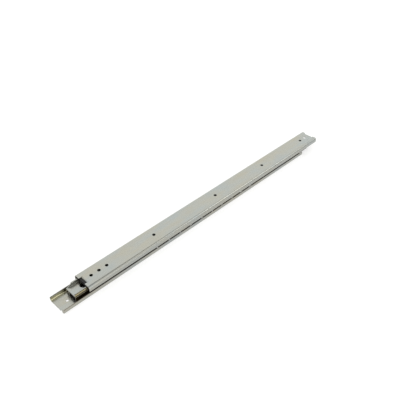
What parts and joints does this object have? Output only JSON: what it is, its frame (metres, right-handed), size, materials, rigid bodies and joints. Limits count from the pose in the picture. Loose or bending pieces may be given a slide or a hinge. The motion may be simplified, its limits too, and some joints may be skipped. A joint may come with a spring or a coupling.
{
  "type": "cabinet drawer slide",
  "caption": "Over-extending ball-bearing drawer slide: two outer steel members joined by a riveted inner member on caged balls, so a drawer pulls out past its cabinet.",
  "frame": {"origin": "centre of the cabinet member's back face, where it lies against the cabinet side", "axes": "+X the way the drawer pulls out, +Y across the slide, +Z from the cabinet side towards the drawer side"},
  "size_m": [0.5942, 0.0354, 0.0191],
  "materials": {
    "zinc_plated_steel": "bright zinc plate with a faint yellow and blue tint",
    "cage_steel": "thin zinc-plated strip",
    "rivet_steel": "zinc plated",
    "bearing_steel": "polished",
    "black_rubber": "matt"
  },
  "bodies": {
    "cabinet": {"cabinet_member": "zinc_plated_steel"},
    "intermediate": {"lower_channel": "zinc_plated_steel", "upper_channel": "zinc_plated_steel", "rivet_1": "rivet_steel", "rivet_2": "rivet_steel", "rivet_3": "rivet_steel", "rivet_4": "rivet_steel", "rivet_5": "rivet_steel"},
    "drawer": {"drawer_member": "zinc_plated_steel", "near_buffer": "black_rubber", "far_buffer": "black_rubber"},
    "lower_cage": {"lower_cage": "cage_steel", "lower_right_ball_1": "bearing_steel", "lower_right_ball_2": "bearing_steel", "lower_right_ball_3": "bearing_steel", "lower_right_ball_4": "bearing_steel", "lower_right_ball_5": "bearing_steel", "lower_right_ball_6": "bearing_steel", "lower_right_ball_7": "bearing_steel", "lower_right_ball_8": "bearing_steel", "lower_right_ball_9": "bearing_steel", "lower_right_ball_10": "bearing_steel", "lower_left_ball_1": "bearing_steel", "lower_left_ball_2": "bearing_steel", "lower_left_ball_3": "bearing_steel", "lower_left_ball_4": "bearing_steel", "lower_left_ball_5": "bearing_steel", "lower_left_ball_6": "bearing_steel", "lower_left_ball_7": "bearing_steel", "lower_left_ball_8": "bearing_steel", "lower_left_ball_9": "bearing_steel", "lower_left_ball_10": "bearing_steel"},
    "upper_cage": {"upper_cage": "cage_steel", "upper_right_ball_1": "bearing_steel", "upper_right_ball_2": "bearing_steel", "upper_right_ball_3": "bearing_steel", "upper_right_ball_4": "bearing_steel", "upper_right_ball_5": "bearing_steel", "upper_right_ball_6": "bearing_steel", "upper_right_ball_7": "bearing_steel", "upper_right_ball_8": "bearing_steel", "upper_right_ball_9": "bearing_steel", "upper_right_ball_10": "bearing_steel", "upper_left_ball_1": "bearing_steel", "upper_left_ball_2": "bearing_steel", "upper_left_ball_3": "bearing_steel", "upper_left_ball_4": "bearing_steel", "upper_left_ball_5": "bearing_steel", "upper_left_ball_6": "bearing_steel", "upper_left_ball_7": "bearing_steel", "upper_left_ball_8": "bearing_steel", "upper_left_ball_9": "bearing_steel", "upper_left_ball_10": "bearing_steel"}
  },
  "joints": [
    {"name": "intermediate_slide", "type": "slide", "parent": "cabinet", "child": "intermediate", "axis": [1, 0, 0], "range_m": [-0.0235, 0.27]},
    {"name": "drawer_slide", "type": "slide", "parent": "intermediate", "child": "drawer", "axis": [1, 0, 0], "range_m": [-0.014, 0.267]},
    {"name": "lower_cage_slide", "type": "slide", "parent": "cabinet", "child": "lower_cage", "axis": [1, 0, 0], "range_m": [-0.01175, 0.135]},
    {"name": "upper_cage_slide", "type": "slide", "parent": "intermediate", "child": "upper_cage", "axis": [1, 0, 0], "range_m": [-0.007, 0.1335]}
  ],
  "couplings": [
    {"joint": "lower_cage_slide", "follows": "intermediate_slide", "ratio": 0.5},
    {"joint": "upper_cage_slide", "follows": "drawer_slide", "ratio": 0.5}
  ]
}
